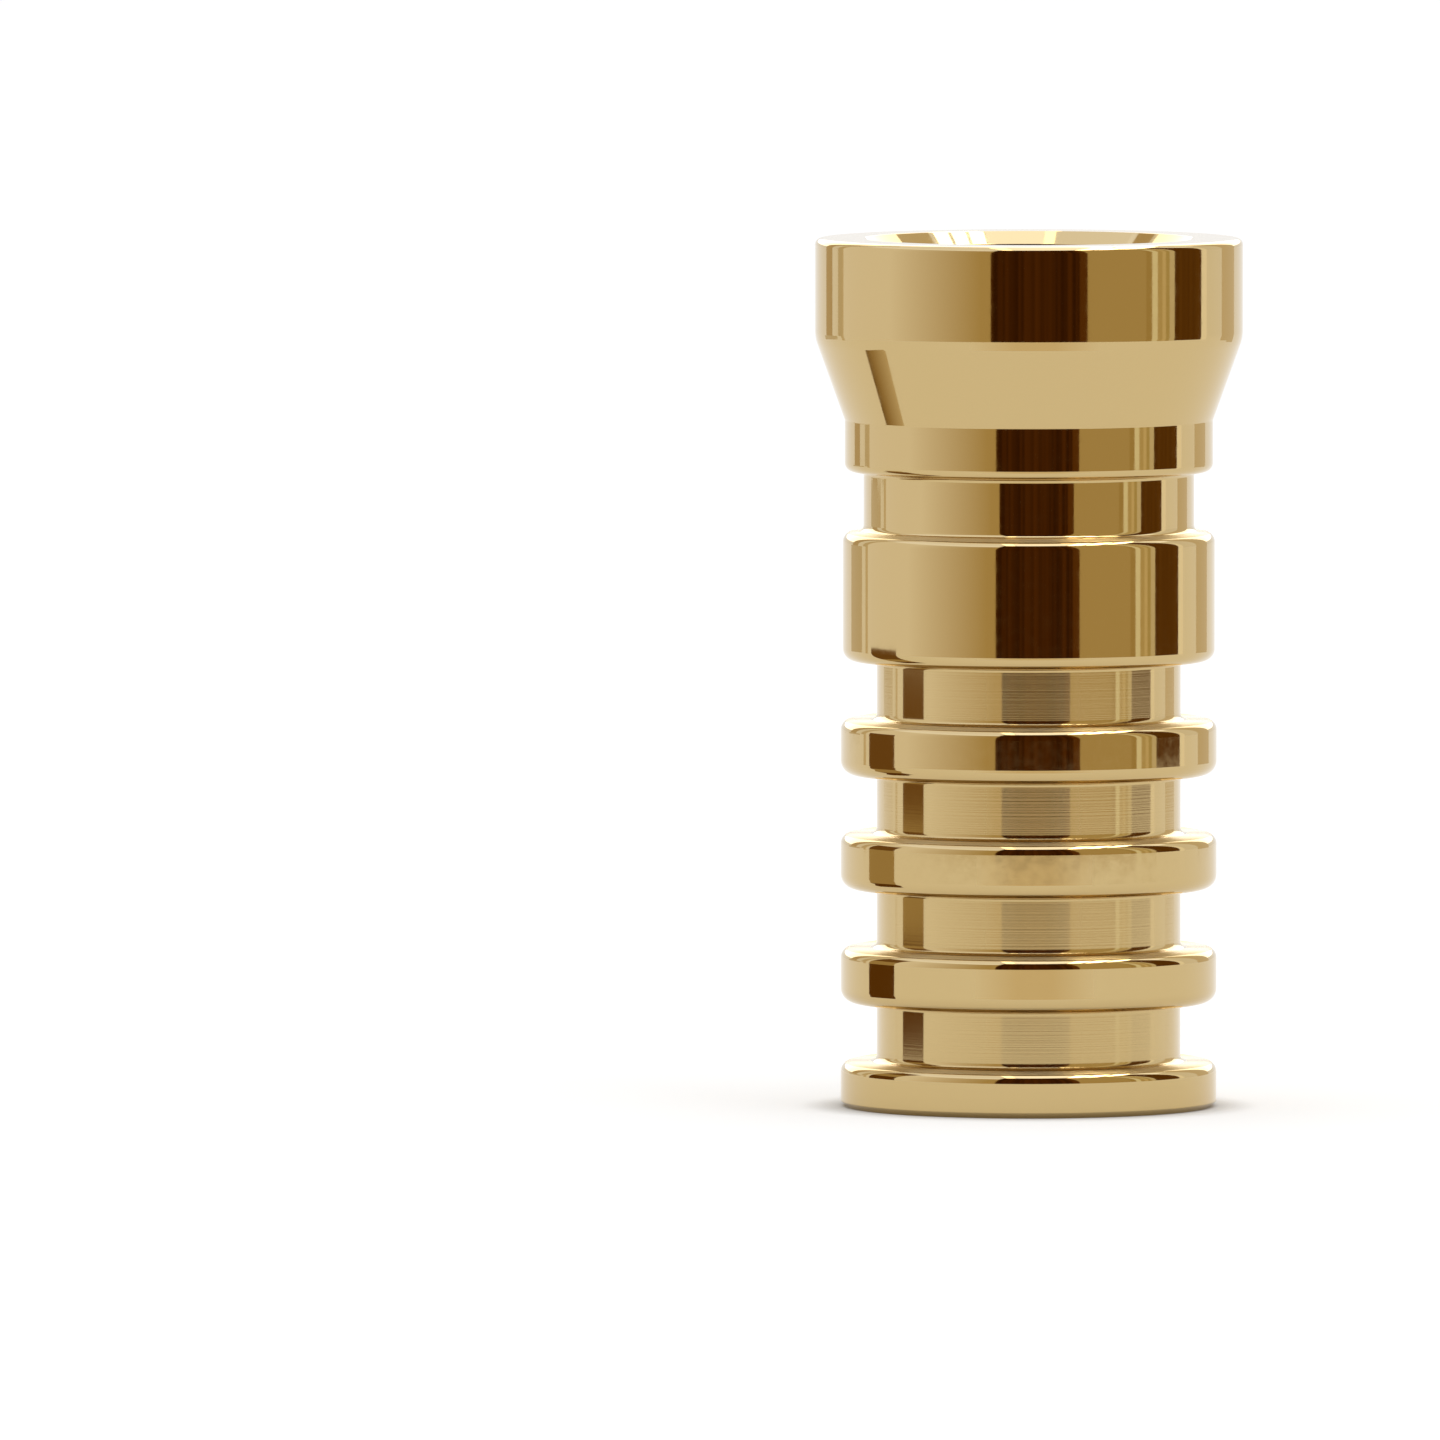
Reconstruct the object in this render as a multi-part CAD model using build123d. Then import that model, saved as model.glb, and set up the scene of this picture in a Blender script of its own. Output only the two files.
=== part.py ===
from build123d import *
import os

# A one-piece sleeve turned from round brass bar, in millimetres, with +Z up along its axis
# and the origin at the centre of its bottom face. From the bottom up, the outside has a foot,
# fins between square grooves, a wide belt, a neck groove, a collar, a flare and a plain head.
# A seat in the head opens upwards, and a narrower bore runs on through the foot.

# Outside diameters
fin_diameter = 12.0        # the foot and every fin
belt_diameter = 11.87
collar_diameter = 11.75
head_diameter = 13.65

# Depths of the grooves
groove_depth = 1.15        # below the fins
neck_depth = 0.6           # below the collar

# Lengths along the axis
foot_length = 1.26
groove_length = 2.06
fin_length = 1.58
belt_length = 3.94
neck_length = 2.10
collar_length = 1.64
flare_length = 2.63
head_length = 3.17
fin_count = 3

# Seat and bore
seat_diameter = 9.7
seat_depth = 4.0
seat_lead_in = 0.4         # 45 degree lead-in at the mouth, measured along the radius
bore_diameter = 7.2
bore_chamfer = 0.25        # where the bore leaves the foot

# Edges: the fins and the belt are rounded below and sharp above
fin_round = 0.45
belt_round = 0.38
head_edge = 0.12
foot_chamfer = 0.17

# Diameters of the groove floors
groove_diameter = fin_diameter - 2 * groove_depth
neck_diameter = collar_diameter - 2 * neck_depth

# Heights of the steps, each from the one below it
groove_pitch = groove_length + fin_length
belt_low = foot_length + fin_count * groove_pitch + groove_length
neck_low = belt_low + belt_length
collar_low = neck_low + neck_length
flare_low = collar_low + collar_length
head_low = flare_low + flare_length
top = head_low + head_length
seat_low = top - seat_depth

def step(low, length, diameter):
    # One step of the half section, from the axis out to its surface
    radius = diameter / 2
    return Pos(radius / 2, low + length / 2) * Rectangle(radius, length)

def corner(outline, diameter, height):
    # The corner of the half section on this diameter at this height
    place = Vector(diameter / 2, height, 0)
    return outline.vertices().sort_by(lambda vertex: (Vector(*vertex) - place).length)[0]

def land(low, length, diameter, lower_round):
    # A step that stands proud of the grooves, with a round on its lower edge
    outline = step(low, length, diameter)
    return fillet(corner(outline, diameter, low), lower_round)

# Foot
section = step(0, foot_length, fin_diameter)
section = chamfer(corner(section, fin_diameter, 0), foot_chamfer)

# Grooves, fins and belt
for number in range(fin_count + 1):
    section += step(foot_length + number * groove_pitch, groove_length, groove_diameter)
for number in range(1, fin_count + 1):
    section += land(foot_length + number * groove_pitch - fin_length, fin_length, fin_diameter, fin_round)
section += land(belt_low, belt_length, belt_diameter, belt_round)

# Neck groove, collar, flare and head
section += step(neck_low, neck_length, neck_diameter)
section += step(collar_low, collar_length, collar_diameter)
section += make_face(
    Polyline(
        (0, flare_low),
        (collar_diameter / 2, flare_low),
        (head_diameter / 2, head_low),
        (0, head_low),
        close=True,
    )
)
section += step(head_low, head_length, head_diameter)
section = chamfer(corner(section, head_diameter, top), head_edge)

# Seat in the head, and the bore below it
section -= step(seat_low, seat_depth, seat_diameter)
section -= step(0, seat_low, bore_diameter)
section = chamfer(corner(section, seat_diameter, top), seat_lead_in)
section = chamfer(corner(section, bore_diameter, 0), bore_chamfer)

turned_sleeve = revolve(Plane.XZ * section, Axis.Z)

os.makedirs("parts", exist_ok=True)
export_step(turned_sleeve, "parts/turned_sleeve.step")
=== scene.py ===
import bpy
import bmesh
import math
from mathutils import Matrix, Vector


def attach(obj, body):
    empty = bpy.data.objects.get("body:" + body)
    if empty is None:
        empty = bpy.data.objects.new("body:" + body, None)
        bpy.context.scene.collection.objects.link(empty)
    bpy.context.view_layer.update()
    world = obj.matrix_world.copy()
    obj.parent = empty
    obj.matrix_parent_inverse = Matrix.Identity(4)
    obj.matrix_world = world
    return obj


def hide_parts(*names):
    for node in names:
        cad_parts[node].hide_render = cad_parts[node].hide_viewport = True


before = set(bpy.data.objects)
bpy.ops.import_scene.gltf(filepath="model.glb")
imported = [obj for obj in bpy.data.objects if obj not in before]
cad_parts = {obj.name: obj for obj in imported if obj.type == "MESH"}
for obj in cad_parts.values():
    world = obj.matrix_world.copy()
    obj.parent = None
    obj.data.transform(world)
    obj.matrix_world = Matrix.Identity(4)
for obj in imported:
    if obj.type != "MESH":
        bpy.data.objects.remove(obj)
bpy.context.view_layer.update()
mm = 0.001
scene = bpy.context.scene
scene.view_settings.view_transform = "Standard"
print("frame loaded")


# small helpers

def linearColour(hexCode):
    # an sRGB hex colour as linear red, green, blue and alpha
    channels = [int(hexCode[i:i + 2], 16) / 255 for i in (1, 3, 5)]
    return [c / 12.92 if c <= 0.04045 else ((c + 0.055) / 1.055) ** 2.4 for c in channels] + [1]


def addNode(tree, kind, settings=None, links=None):
    # one node: settings are its own properties or its sockets, links are what feeds it
    node = tree.nodes.new(kind)
    for key, value in (settings or {}).items():
        if isinstance(key, str) and hasattr(node, key):
            setattr(node, key, value)
        else:
            node.inputs[key].default_value = value
    for key, source in (links or {}).items():
        tree.links.new(source, node.inputs[key])
    return node


def newMaterial(name):
    material = bpy.data.materials.new(name)
    material.use_nodes = True
    material.node_tree.nodes.clear()
    return material, material.node_tree


def objectPlace(tree):
    # where a point is, in metres from the foot of the axis
    return addNode(tree, "ShaderNodeTexCoord").outputs["Object"]


def addMesh(name, bm):
    mesh = bpy.data.meshes.new(name)
    bm.to_mesh(mesh)
    bm.free()
    thing = bpy.data.objects.new(name, mesh)
    scene.collection.objects.link(thing)
    return thing


def heading(azimuth, elevation):
    # a unit vector: the azimuth is measured from the camera's side and is positive to the right,
    # and both angles are in degrees
    turn, tilt = math.radians(azimuth), math.radians(elevation)
    return Vector((math.sin(turn) * math.cos(tilt), -math.cos(turn) * math.cos(tilt),
                   math.sin(tilt)))


# camera: a long lens a metre away, a little above the sleeve, which stands right of the middle

cameraSet = {
    "place": (-9.85, -995, 70.6),       # mm
    "target": (-9.85, 0, 12.33),
    "lens": 781,
    "sensor": 36,
    "clip": (0.01, 20),                 # metres
}

camera = bpy.data.objects.new("camera", bpy.data.cameras.new("camera"))
scene.collection.objects.link(camera)
camera.location = Vector(cameraSet["place"]) * mm
aim = (Vector(cameraSet["target"]) - Vector(cameraSet["place"])) * mm
camera.rotation_euler = aim.to_track_quat("-Z", "Y").to_euler()
camera.data.lens = cameraSet["lens"]
camera.data.sensor_width = cameraSet["sensor"]
camera.data.clip_start, camera.data.clip_end = cameraSet["clip"]
scene.camera = camera
print("camera placed")


# floor and world: pale floor that goes white before a white room

roomSet = {
    "floorHalf": 1600,          # mm
    "floorColour": "#E6E6E6",
    "floorGlow": 0.38,          # added where the floor is seen directly or in a reflection
    "footShade": (5.6, 7.6),    # mm from the axis: painted shade at the foot, the glow rises from none to full here
    "roomLight": 0.78,          # what the room sheds on matt surfaces
    "roomWhite": 1.0,           # what the camera and reflections see of it
}


def seenDirectly(tree):
    # 1 where a surface is seen by the camera, in a reflection or through glass
    path = addNode(tree, "ShaderNodeLightPath")
    both = addNode(tree, "ShaderNodeMath", {"operation": "MAXIMUM"},
                   {0: path.outputs["Is Camera Ray"], 1: path.outputs["Is Glossy Ray"]})
    return addNode(tree, "ShaderNodeMath", {"operation": "MAXIMUM"},
                   {0: both.outputs[0], 1: path.outputs["Is Transmission Ray"]}).outputs[0]


# matt white paper: its own shadow, painted shade at the foot where the added glow fades out, and no
# sheen
floorMaterial, tree = newMaterial("matt white paper")
paper = addNode(tree, "ShaderNodeBsdfDiffuse", {"Color": linearColour(roomSet["floorColour"])})
away = addNode(tree, "ShaderNodeVectorMath", {"operation": "LENGTH"}, {0: objectPlace(tree)})
# painted shade: no glow close to the foot, full glow further out
shade = addNode(tree, "ShaderNodeMapRange", {
    "interpolation_type": "SMOOTHSTEP", "From Min": roomSet["footShade"][0] * mm,
    "From Max": roomSet["footShade"][1] * mm, "To Max": roomSet["floorGlow"]},
    {"Value": away.outputs["Value"]})
glowLevel = addNode(tree, "ShaderNodeMath", {"operation": "MULTIPLY"},
                    {0: seenDirectly(tree), 1: shade.outputs[0]})
glow = addNode(tree, "ShaderNodeEmission", {}, {"Strength": glowLevel.outputs[0]})
both = addNode(tree, "ShaderNodeAddShader", {}, {0: paper.outputs[0], 1: glow.outputs[0]})
addNode(tree, "ShaderNodeOutputMaterial", {}, {"Surface": both.outputs[0]})

bm = bmesh.new()
bmesh.ops.create_grid(bm, x_segments=1, y_segments=1, size=roomSet["floorHalf"] * mm)
floor = addMesh("floor", bm)
floor.data.materials.append(floorMaterial)

world = bpy.data.worlds.new("white room")
scene.world = world
world.use_nodes = True
tree = world.node_tree
tree.nodes.clear()
level = addNode(tree, "ShaderNodeMapRange", {"To Min": roomSet["roomLight"],
                                             "To Max": roomSet["roomWhite"]},
                {"Value": seenDirectly(tree)})
sky = addNode(tree, "ShaderNodeBackground", {"Color": (1, 1, 1, 1)}, {"Strength": level.outputs[0]})
addNode(tree, "ShaderNodeOutputWorld", {}, {"Surface": sky.outputs[0]})
print("room ready")


# soft lamps, placed round the sleeve's foot: degrees, mm and watts

lamps = [
    {"name": "key softbox", "azimuth": 50, "elevation": 52, "distance": 670, "size": 300,
     "watts": 0.3},
    {"name": "top softbox", "azimuth": 240, "elevation": 84, "distance": 900, "size": 800,
     "watts": 0.5},
]

for lamp in lamps:
    light = bpy.data.lights.new(lamp["name"], "AREA")
    light.shape = "SQUARE"
    light.size = lamp["size"] * mm
    light.energy = lamp["watts"]
    holder = bpy.data.objects.new(lamp["name"], light)
    scene.collection.objects.link(holder)
    holder.location = heading(lamp["azimuth"], lamp["elevation"]) * lamp["distance"] * mm
    holder.rotation_euler = (-holder.location).to_track_quat("-Z", "Y").to_euler()
print("lamps placed")


# glowing cards round the sleeve, none of them a lamp, which only its reflections show: painted
# reflections

def bentCard(span, edges, steps):
    # a card bent round the axis: span in degrees, edges as (mm from the axis, mm up)
    start, end = [math.radians(azimuth) for azimuth in span]
    bm = bmesh.new()
    ends = [bm.verts.new(Vector((math.sin(start) * reach, -math.cos(start) * reach, z)) * mm)
            for reach, z in edges]
    edge = bm.edges.new(ends)
    bmesh.ops.spin(bm, geom=ends + [edge], axis=(0, 0, 1), cent=(0, 0, 0), angle=end - start,
                   steps=steps, use_merge=False)
    return bm


def flatCard(places):
    # a flat card between these places, in mm
    bm = bmesh.new()
    bm.faces.new([bm.verts.new(Vector(spot) * mm) for spot in places])
    return bm


def addCard(name, bm, colour, strength):
    # a card that glows in one colour: gives its shader tree and the socket of that colour
    card = addMesh(name, bm)
    material, tree = newMaterial(name + " card")
    source = addNode(tree, "ShaderNodeEmission", {"Color": linearColour(colour),
                                                  "Strength": strength})
    addNode(tree, "ShaderNodeOutputMaterial", {}, {"Surface": source.outputs[0]})
    card.data.materials.append(material)
    card.visible_camera = False
    card.visible_diffuse = False
    card.visible_shadow = False
    return tree, source.inputs["Color"]


def turnShare(tree, span):
    # 0 to 1 from one azimuth to the other, in degrees
    start, end = [math.radians(azimuth) for azimuth in span]
    parts = addNode(tree, "ShaderNodeSeparateXYZ", {}, {0: objectPlace(tree)})
    front = addNode(tree, "ShaderNodeMath", {"operation": "MULTIPLY", 1: -1.0},
                    {0: parts.outputs["Y"]})
    turn = addNode(tree, "ShaderNodeMath", {"operation": "ARCTAN2"},
                   {0: parts.outputs["X"], 1: front.outputs[0]})
    return addNode(tree, "ShaderNodeMapRange", {"From Min": start, "From Max": end},
                   {"Value": turn.outputs[0]}).outputs[0]


def streakShare(tree):
    # 0 to 1 in soft upright streaks
    upright = addNode(tree, "ShaderNodeMapping", {"Scale": (1, 1, 0)}, {0: objectPlace(tree)})
    folds = addNode(tree, "ShaderNodeTexNoise", {
        "Scale": 1 / (panelSet["streakWidth"] * mm), "Detail": panelSet["streakDetail"]},
        {"Vector": upright.outputs[0]})
    low, high = panelSet["streakRange"]
    return addNode(tree, "ShaderNodeMapRange", {"From Min": low, "From Max": high},
                   {"Value": folds.outputs[0]}).outputs[0]


def blendColours(tree, first, second, share):
    blend = addNode(tree, "ShaderNodeMix", {
        "data_type": "RGBA", 6: linearColour(first), 7: linearColour(second)}, {0: share})
    return blend.outputs[2]


# walls, seams and lines of light, all painted reflections: the upright bands on every land, and
# what the flare shows
# spans are azimuths in degrees, heights and radii are in mm
# fade is where a colour turns into the endColour, and streaks is the colour of upright streaks

panelSet = {
    "radius": 142, "height": (0, 210),
    "stepTurn": 3,              # degrees of bend in one step
    "leastSteps": 2,
    "streakWidth": 6,
    "streakDetail": 1.0,
    "streakRange": (0.35, 0.65),
}

panels = [
    {"name": "opening", "span": (-20.6, 26.3), "colour": "#58310A", "streaks": "#3D1F04"},
    {"name": "opening jamb", "span": (26.3, 30.4), "colour": "#663D12"},
    {"name": "left wall", "span": (-118, -20.6), "colour": "#FCFCFF", "endColour": "#C5B080",
     "fade": (-80, -26), "strength": 1.1, "height": (0, 130)},
    {"name": "left line", "span": (-121, -118), "colour": "#E9DCC0"},
    {"name": "left stripe, low", "span": (-143, -125.5), "height": (4, 13), "colour": "#E2D6BC"},
    {"name": "left stripe, high", "span": (-140, -131), "height": (13, 210),
     "colour": "#D4C09A"},
    {"name": "left stripe beside it", "span": (-124, -119), "height": (13, 210),
     "colour": "#E2D6BC"},
    {"name": "right wall", "span": (30.4, 64.2), "colour": "#CBB686"},
    {"name": "right seam", "span": (64.2, 67.9), "colour": "#C0A871"},
    {"name": "right line", "span": (67.9, 71.5), "colour": "#FFFFEE"},
    {"name": "right wall end", "span": (71.5, 74.6), "colour": "#D4C191"},
    {"name": "second line", "span": (74.6, 77), "colour": "#E8D8B0"},
    {"name": "second seam", "span": (77, 79.5), "colour": "#CBB984"},
    {"name": "pillar edge", "span": (79.5, 83.1), "colour": "#E8DFC8"},
    {"name": "right pillar", "span": (83.1, 104.1), "height": (2.4, 210), "colour": "#734D1B",
     "streaks": "#633F12"},
    {"name": "bright strip", "span": (104.1, 109), "colour": "#FFFFFF", "strength": 1.22},
    {"name": "right stripe", "span": (125, 143), "colour": "#E8DBC0"},
    {"name": "upper left wall", "span": (-140, -22), "height": (130, 320), "radius": (142, 240),
     "colour": "#E2E9FF", "strength": 1.7},
    {"name": "upper right wall", "span": (79, 140), "height": (130, 320), "radius": (141, 240),
     "colour": "#E2E9FF", "strength": 2.1},
    {"name": "bright backdrop", "span": (140, 220), "height": (200, 1500), "radius": 1500,
     "colour": "#FFFFFF", "strength": 2.6},
    # three glowing cards close by on the left: painted reflections of things beside the sleeve,
    # dark, pale and dark
    {"name": "low dark reflection", "span": (-96.5, -75), "height": (0.8, 4.6), "radius": 15,
     "colour": "#694312"},
    {"name": "middle pale reflection", "span": (-96.5, -75), "height": (4.6, 8.6), "radius": 15,
     "colour": "#BCA474"},
    {"name": "high dark reflection", "span": (-96.5, -75), "height": (8.6, 14.2), "radius": 15,
     "colour": "#805C2D"},
]

for panel in panels:
    low, high = panel.get("height", panelSet["height"])
    reach = panel.get("radius", panelSet["radius"])
    lowReach, highReach = reach if isinstance(reach, tuple) else (reach, reach)
    bend = panel["span"][1] - panel["span"][0]
    steps = max(panelSet["leastSteps"], round(bend / panelSet["stepTurn"]))
    tree, colourSocket = addCard(
        panel["name"], bentCard(panel["span"], ((lowReach, low), (highReach, high)), steps),
        panel["colour"], panel.get("strength", 1.0))
    if "endColour" in panel:
        fade = blendColours(tree, panel["colour"], panel["endColour"],
                            turnShare(tree, panel["fade"]))
        tree.links.new(fade, colourSocket)
    if "streaks" in panel:
        streaked = blendColours(tree, panel["colour"], panel["streaks"], streakShare(tree))
        tree.links.new(streaked, colourSocket)


# the glowing ceiling and its strips, none of them a lamp: painted highlights, the bright streaks on
# the rounded edges
# a strip is given by where it shows on an edge: degrees round the sleeve, and degrees that the
# edge's face tilts up from a wall

ceilingSet = {
    "rise": 320, "half": 240,   # mm
    "colour": "#E8EDFF", "strength": 1.5,
    "stripDrop": 2,             # mm that the strips hang below it
    "edgePlace": (5.8, 10),     # mm from the axis and up: a rounded edge about halfway up
    "viewFall": 0.066,          # how far the camera's line of sight falls, per unit of length
}

strips = [
    {"name": "middle strip", "turns": (-3.8, 10.6), "tilts": (29, 75), "colour": "#E2E9FF",
     "strength": 2.4},
    {"name": "left strip", "turns": (-6.9, -4.1), "tilts": (29, 70), "colour": "#FFFCF4",
     "strength": 3.4},
    {"name": "first strip", "turns": (11.4, 15.4), "tilts": (29, 72), "colour": "#FFFCF4",
     "strength": 7},
    {"name": "second strip", "turns": (16.4, 20.4), "tilts": (29, 72), "colour": "#FFFCF4",
     "strength": 9},
    {"name": "third strip", "turns": (22.2, 27), "tilts": (29, 70), "colour": "#FFFCF4",
     "strength": 7},
]


def mirroredPlace(turn, tilt):
    # where the line of sight, mirrored in an edge's face, meets the strips' level, in mm
    sight = Vector((0, 1, -ceilingSet["viewFall"])).normalized()
    seen = sight.reflect(heading(turn, tilt))
    out, up = ceilingSet["edgePlace"]
    edge = heading(turn, 0) * out + Vector((0, 0, up))
    return edge + seen * (ceilingSet["rise"] - ceilingSet["stripDrop"] - edge.z) / seen.z


half = ceilingSet["half"]
ceilingCorners = [(x * half, y * half, ceilingSet["rise"])
                  for x, y in ((-1, -1), (1, -1), (1, 1), (-1, 1))]
addCard("ceiling", flatCard(ceilingCorners), ceilingSet["colour"], ceilingSet["strength"])
for strip in strips:
    (left, right), (low, high) = strip["turns"], strip["tilts"]
    places = [mirroredPlace(turn, tilt)
              for turn, tilt in ((left, low), (right, low), (right, high), (left, high))]
    addCard(strip["name"], flatCard(places), strip["colour"], strip["strength"])


# glowing patches just above the floor that only reflections see: painted reflections of shade at
# the left and of warm light before the opening, and both change colour along their span

patchSet = {"height": 0.3, "steps": 16}      # mm above the floor, steps of bend

patches = [
    {"name": "shaded patch", "span": (-104, -88), "reach": (38, 53), "strength": 1,
     "colours": ((0, "#8C7043"), (0.3, "#B29768"), (1, "#E2D2B2"))},
    {"name": "warm patch", "span": (-32, 38), "reach": (45, 142), "strength": 1.08,
     "colours": ((0, "#FFFFFF"), (0.35, "#F2E8D4"), (0.65, "#F2E8D4"), (1, "#FFFFFF"))},
]

for patch in patches:
    edges = [(reach, patchSet["height"]) for reach in patch["reach"]]
    tree, colourSocket = addCard(patch["name"], bentCard(patch["span"], edges, patchSet["steps"]),
                                 patch["colours"][0][1], patch["strength"])
    ramp = addNode(tree, "ShaderNodeValToRGB", {}, {0: turnShare(tree, patch["span"])})
    stops = ramp.color_ramp.elements
    while len(stops) < len(patch["colours"]):
        stops.new(0.5)          # its place is set below
    for stop, (position, hexCode) in zip(stops, patch["colours"]):
        stop.position = position
        stop.color = linearColour(hexCode)
    tree.links.new(ramp.outputs[0], colourSocket)
print("cards placed")


# the sleeve, in mm: one closed outline, rounded corner by corner and spun round +Z

sleeve = {
    "footLength": 1.26, "grooveLength": 2.06, "finLength": 1.58, "finCount": 3,
    "finRadius": 6.0, "grooveRadius": 4.85,
    "beltLength": 3.94, "beltRadius": 5.935,
    "neckLength": 2.10, "neckRadius": 5.275,
    "collarLength": 1.64, "collarRadius": 5.875,
    "flareLength": 2.63, "headLength": 3.17, "headRadius": 6.825,
    "seatRadius": 4.85, "seatDepth": 4.0, "leadIn": 0.4,
    "boreRadius": 3.6, "boreChamfer": 0.25,
    "footBreak": 0.17,          # a flat chamfer
    # each rounding is its radius and the number of its segments
    "finRound": (0.45, 8), "beltRound": (0.38, 8), "collarRound": (0.27, 7),
    "upperRound": (0.34, 10),   # upper edges of the lands
    "headBreak": (0.2, 4),
    "headBlend": (1.2, 5),      # where the flare runs into the head
    "rootLower": (0.2, 6),      # inside corner at the bottom of each groove
    "rootUpper": (0.12, 5),     # and at its top
    "seatRoot": (0.15, 4),
    "upperRise": 0.19,          # how far the upper faces lie above the lands' own lengths
    "supportGap": 0.02,         # from the end of a straight run to the ring beside it
    "shortRun": 4,              # support gaps: a run no longer than this gets no rings
    "steps": 256,
    "mergeGap": 1e-7,           # metres
    "facedShare": 1 / 3,        # outer part of the upper round's width that stays polished
    "facedSlope": 0.8,          # upward part of its normal from which a face counts as faced
}

s = sleeve
corners = []                    # radius, height, rounding and its segments


def addCorner(radius, height, rounding=(0, 0)):
    corners.append((radius, height) + rounding)


addCorner(s["boreRadius"] + s["boreChamfer"], 0)
addCorner(s["finRadius"] - s["footBreak"], 0)
addCorner(s["finRadius"], s["footBreak"])
height = s["footLength"]
addCorner(s["finRadius"], height + s["upperRise"], s["upperRound"])
for number in range(s["finCount"] + 1):
    # a groove and the land above it, the belt being the last
    land = "belt" if number == s["finCount"] else "fin"
    addCorner(s["grooveRadius"], height + s["upperRise"], s["rootLower"])
    height += s["grooveLength"]
    addCorner(s["grooveRadius"], height, s["rootUpper"])
    addCorner(s[land + "Radius"], height, s[land + "Round"])
    height += s[land + "Length"]
    addCorner(s[land + "Radius"], height + s["upperRise"], s["upperRound"])
addCorner(s["neckRadius"], height + s["upperRise"], s["rootLower"])
height += s["neckLength"]
addCorner(s["neckRadius"], height, s["rootUpper"])
addCorner(s["collarRadius"], height, s["collarRound"])
height += s["collarLength"]
addCorner(s["collarRadius"], height)
height += s["flareLength"]
addCorner(s["headRadius"], height, s["headBlend"])
height += s["headLength"]
addCorner(s["headRadius"], height, s["headBreak"])
addCorner(s["seatRadius"] + s["leadIn"], height)
addCorner(s["seatRadius"], height - s["leadIn"])
height -= s["seatDepth"]
addCorner(s["seatRadius"], height, s["seatRoot"])
addCorner(s["boreRadius"], height)
addCorner(s["boreRadius"], s["boreChamfer"])

bm = bmesh.new()
points = [bm.verts.new(Vector((radius, 0, z)) * mm) for radius, z, rounding, segments in corners]
for number, point in enumerate(points):
    bm.edges.new((points[number - 1], point))
for number, point in enumerate(points):
    radius, z, rounding, segments = corners[number]
    if rounding == 0:
        continue
    here = Vector((radius, z))
    before = (Vector(corners[number - 1][:2]) - here).normalized()
    after = (Vector(corners[(number + 1) % len(corners)][:2]) - here).normalized()
    tangent = rounding / math.tan(before.angle(after) / 2)
    bmesh.ops.bevel(bm, geom=[point], offset=tangent * mm, offset_type="OFFSET",
                    segments=segments, profile=0.5, affect="VERTICES", clamp_overlap=False,
                    material=-1)
gap = s["supportGap"] * mm
for edge in bm.edges[:]:
    # a ring close to each end of a straight run keeps the shading of flats and walls even
    if edge.calc_length() > s["shortRun"] * gap:
        first, last = edge.verts
        newPoint = bmesh.utils.edge_split(edge, first, gap / edge.calc_length())[1]
        rest = [e for e in newPoint.link_edges if last in e.verts][0]
        bmesh.utils.edge_split(rest, last, gap / rest.calc_length())
print("outline", len(bm.verts), "points")
bmesh.ops.spin(bm, geom=bm.verts[:] + bm.edges[:], axis=(0, 0, 1), cent=(0, 0, 0),
               angle=2 * math.pi, steps=s["steps"], use_merge=True)
bmesh.ops.remove_doubles(bm, verts=bm.verts[:], dist=s["mergeGap"])
bmesh.ops.recalc_face_normals(bm, faces=bm.faces[:])

# finishes: upper faces are faced, groove walls, roots and undersides turned, the rest polished
polishedSlot, turnedSlot, facedSlot = 0, 1, 2
grooveTop = (s["footLength"] + (s["finCount"] + 1) * s["grooveLength"]
             + s["finCount"] * s["finLength"])
neckTop = grooveTop + s["beltLength"] + s["neckLength"] / 2
turnedEdge = s["finRadius"] - s["finRound"][0] - s["supportGap"] / 2
facedEdge = s["finRadius"] - s["upperRound"][0] * s["facedShare"]
rootEdge = s["grooveRadius"] + s["rootLower"][0]
for face in bm.faces:
    face.smooth = True
    middle = face.calc_center_median()
    radius = math.hypot(middle.x, middle.y) / mm
    z = middle.z / mm
    inGroove = s["footLength"] < z < grooveTop and s["boreRadius"] < radius < turnedEdge
    onFlat = (s["footLength"] < z < neckTop and rootEdge < radius < facedEdge
              and face.normal.z > s["facedSlope"])
    face.material_index = facedSlot if onFlat else turnedSlot if inGroove else polishedSlot
turnedSleeve = addMesh("turned_sleeve_brass", bm)
print("sleeve spun", len(turnedSleeve.data.polygons), "faces")


# brass, three finishes of one metal

brassSet = {
    "colour": "#C6AD7A",
    "polished": (0.035, 0.075),     # roughness of each finish
    "turned": 0.11,
    "faced": 0.4,
    "turnedRidges": 0.3,            # how strongly the tool's marks show
    "facedRidges": 0.25,
    "feedMark": 0.06,               # mm between the marks
    "markDepth": 0.004,             # mm
    "markDetail": 2.0,
    "markRoughness": 0.6,
    "mottle": 0.35,                 # mm across the faint cloudiness of the polish
    "mottleDetail": 3.0,
    "mottleRange": (0.3, 0.7),
    "grain": 0.12,
    "grainDepth": 0.002,            # mm
    "glossTurn": 0.25,              # of a full turn: the gloss is drawn out across the marks
}


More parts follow.
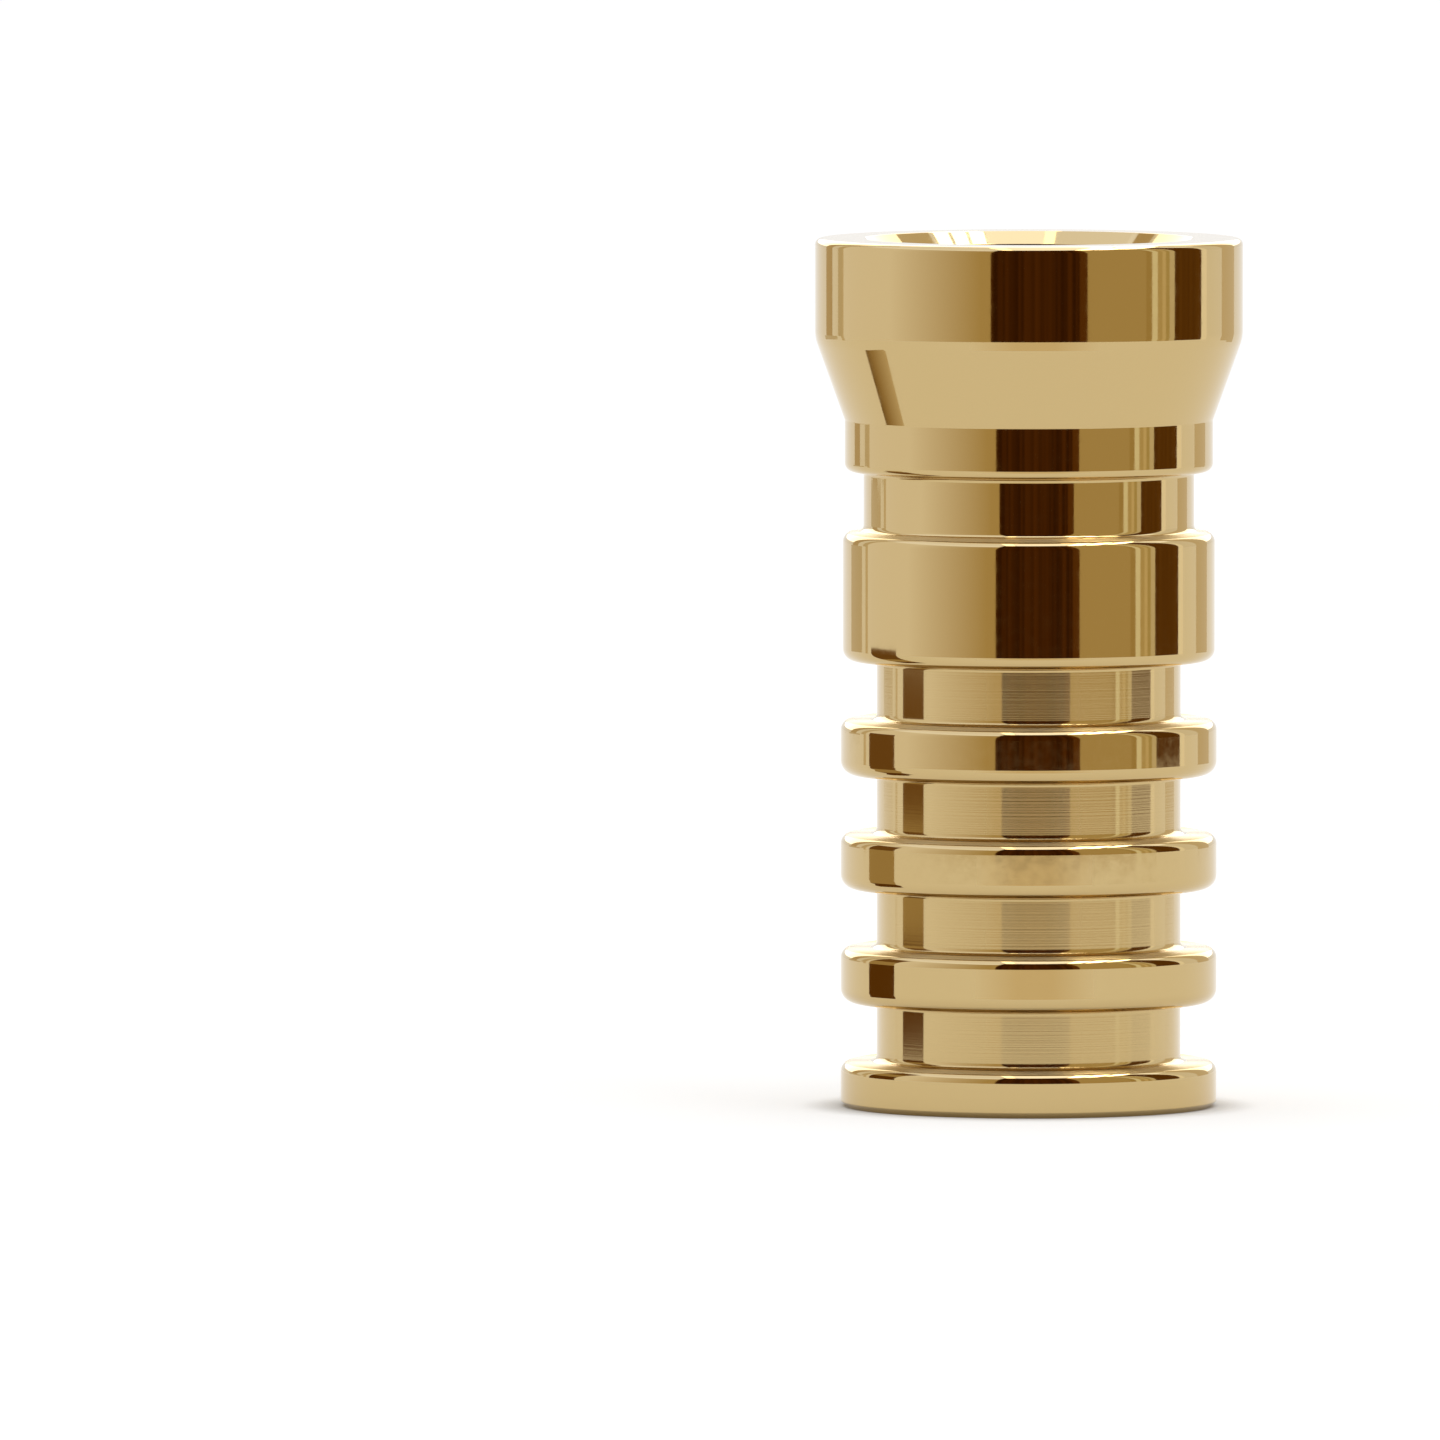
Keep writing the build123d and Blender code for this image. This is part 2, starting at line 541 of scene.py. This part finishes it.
def ringedBrass(name, roughness, along, strength):
    # brass with the tool's rings left on it, its gloss drawn out across them
    # the rings follow the height on walls, or the distance from the axis on flats
    material, tree = newMaterial(name)
    place = objectPlace(tree)
    if along == "height":
        parts = addNode(tree, "ShaderNodeSeparateXYZ", {}, {0: place})
        way = parts.outputs["Z"]
    else:
        flat = addNode(tree, "ShaderNodeVectorMath", {"operation": "MULTIPLY", 1: (1, 1, 0)},
                       {0: place})
        reach = addNode(tree, "ShaderNodeVectorMath", {"operation": "LENGTH"},
                        {0: flat.outputs[0]})
        way = reach.outputs["Value"]
    lines = addNode(tree, "ShaderNodeTexNoise", {
        "noise_dimensions": "1D", "Scale": 1 / (brassSet["feedMark"] * mm),
        "Detail": brassSet["markDetail"], "Roughness": brassSet["markRoughness"]}, {"W": way})
    ridges = addNode(tree, "ShaderNodeBump", {
        "Strength": strength, "Distance": brassSet["markDepth"] * mm},
        {"Height": lines.outputs[0]})
    around = addNode(tree, "ShaderNodeTangent", {"direction_type": "RADIAL", "axis": "Z"})
    metal = addNode(tree, "ShaderNodeBsdfPrincipled", {
        "Base Color": linearColour(brassSet["colour"]), "Metallic": 1.0, "Roughness": roughness,
        "Anisotropic": 1.0, "Anisotropic Rotation": brassSet["glossTurn"]},
        {"Normal": ridges.outputs[0], "Tangent": around.outputs[0]})
    addNode(tree, "ShaderNodeOutputMaterial", {}, {"Surface": metal.outputs[0]})
    return material


# polished lands, neck, flare, head and bore: a warm mirror
polishedBrass, tree = newMaterial("polished brass")
mottle = addNode(tree, "ShaderNodeTexNoise", {
    "Scale": 1 / (brassSet["mottle"] * mm), "Detail": brassSet["mottleDetail"]},
    {"Vector": objectPlace(tree)})
gloss = addNode(tree, "ShaderNodeMapRange", {
    "From Min": brassSet["mottleRange"][0], "From Max": brassSet["mottleRange"][1],
    "To Min": brassSet["polished"][0], "To Max": brassSet["polished"][1]},
    {"Value": mottle.outputs[0]})
grain = addNode(tree, "ShaderNodeBump", {
    "Strength": brassSet["grain"], "Distance": brassSet["grainDepth"] * mm},
    {"Height": mottle.outputs[0]})
bright = addNode(tree, "ShaderNodeBsdfPrincipled", {
    "Base Color": linearColour(brassSet["colour"]), "Metallic": 1.0},
    {"Roughness": gloss.outputs[0], "Normal": grain.outputs[0]})
addNode(tree, "ShaderNodeOutputMaterial", {}, {"Surface": bright.outputs[0]})

# groove walls, their roots and undersides: fine rings that smear reflections up and down
turnedBrass = ringedBrass("finely turned brass", brassSet["turned"], "height",
                          brassSet["turnedRidges"])

# upper faces: rings that spread the light outwards
facedBrass = ringedBrass("faced brass", brassSet["faced"], "radius", brassSet["facedRidges"])

for finish in (polishedBrass, turnedBrass, facedBrass):
    turnedSleeve.data.materials.append(finish)
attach(turnedSleeve, "root")
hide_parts("turned_sleeve")
print("brass ready")
